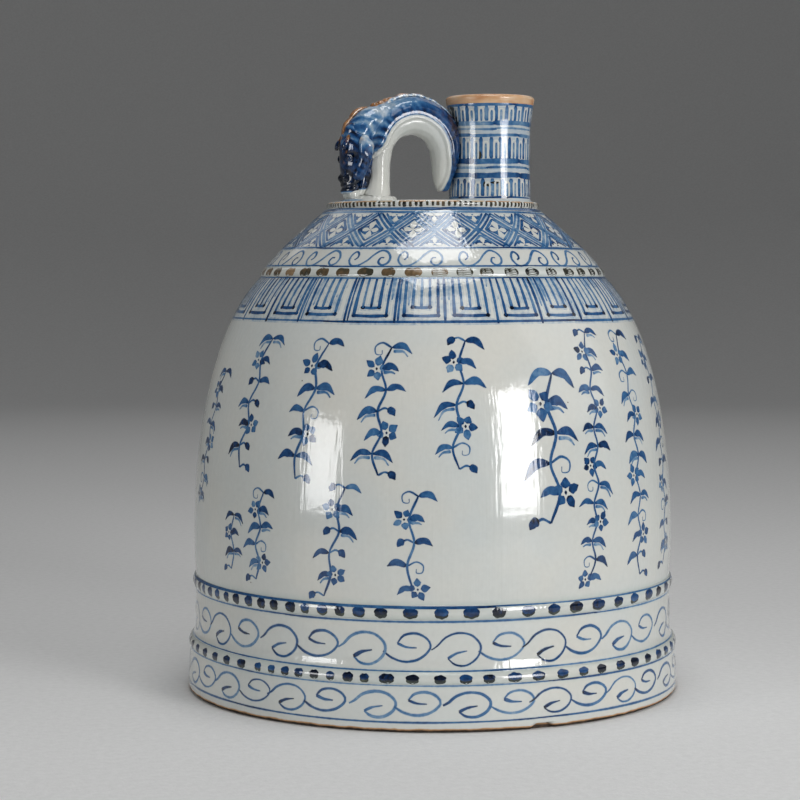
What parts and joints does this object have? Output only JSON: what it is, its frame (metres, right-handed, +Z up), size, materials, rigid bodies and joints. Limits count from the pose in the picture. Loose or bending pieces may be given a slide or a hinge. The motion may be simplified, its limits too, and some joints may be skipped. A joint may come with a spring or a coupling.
{
  "type": "porcelain bell",
  "caption": "Hollow domed porcelain bell in temple-bell form, open at the foot, with raised bands, a dragon hanging loop and a sounding tube on its flat crown.",
  "frame": {"origin": "centre of the bell's mouth, on the plane that its foot stands on", "axes": "+Z up along the bell's axis; +X from the dragon's head towards the sounding tube; the dragon loop lies in the XZ plane"},
  "size_m": [0.163, 0.163, 0.1965],
  "materials": {
    "porcelain": "glossy clear glaze, grey-white, painted in cobalt blue",
    "cobalt_glaze": "glossy clear glaze over cobalt blue painting",
    "iron_brown_edge": "satin iron-brown edge, thinly glazed",
    "bare_clay": "matt, unglazed, toasted brown"
  },
  "bodies": {
    "root": {"skirt_wall": "porcelain", "hem_band": "porcelain", "waist_band": "porcelain", "body_wall": "porcelain", "shoulder_band": "porcelain", "shoulder_wall": "porcelain", "crown_band": "porcelain", "crown_plate": "porcelain", "dragon_pad": "porcelain", "dragon_foreleg": "porcelain", "dragon_jaw": "porcelain", "tube": "cobalt_glaze", "tube_collar": "cobalt_glaze", "dragon_body": "cobalt_glaze", "dragon_neck": "cobalt_glaze", "dragon_head": "cobalt_glaze", "dragon_nostrils": "cobalt_glaze", "dragon_brows": "cobalt_glaze", "dragon_eyes": "cobalt_glaze", "dragon_ears": "cobalt_glaze", "tube_lip": "iron_brown_edge", "dragon_crest": "iron_brown_edge", "foot_rim": "bare_clay"}
  },
  "joints": []
}
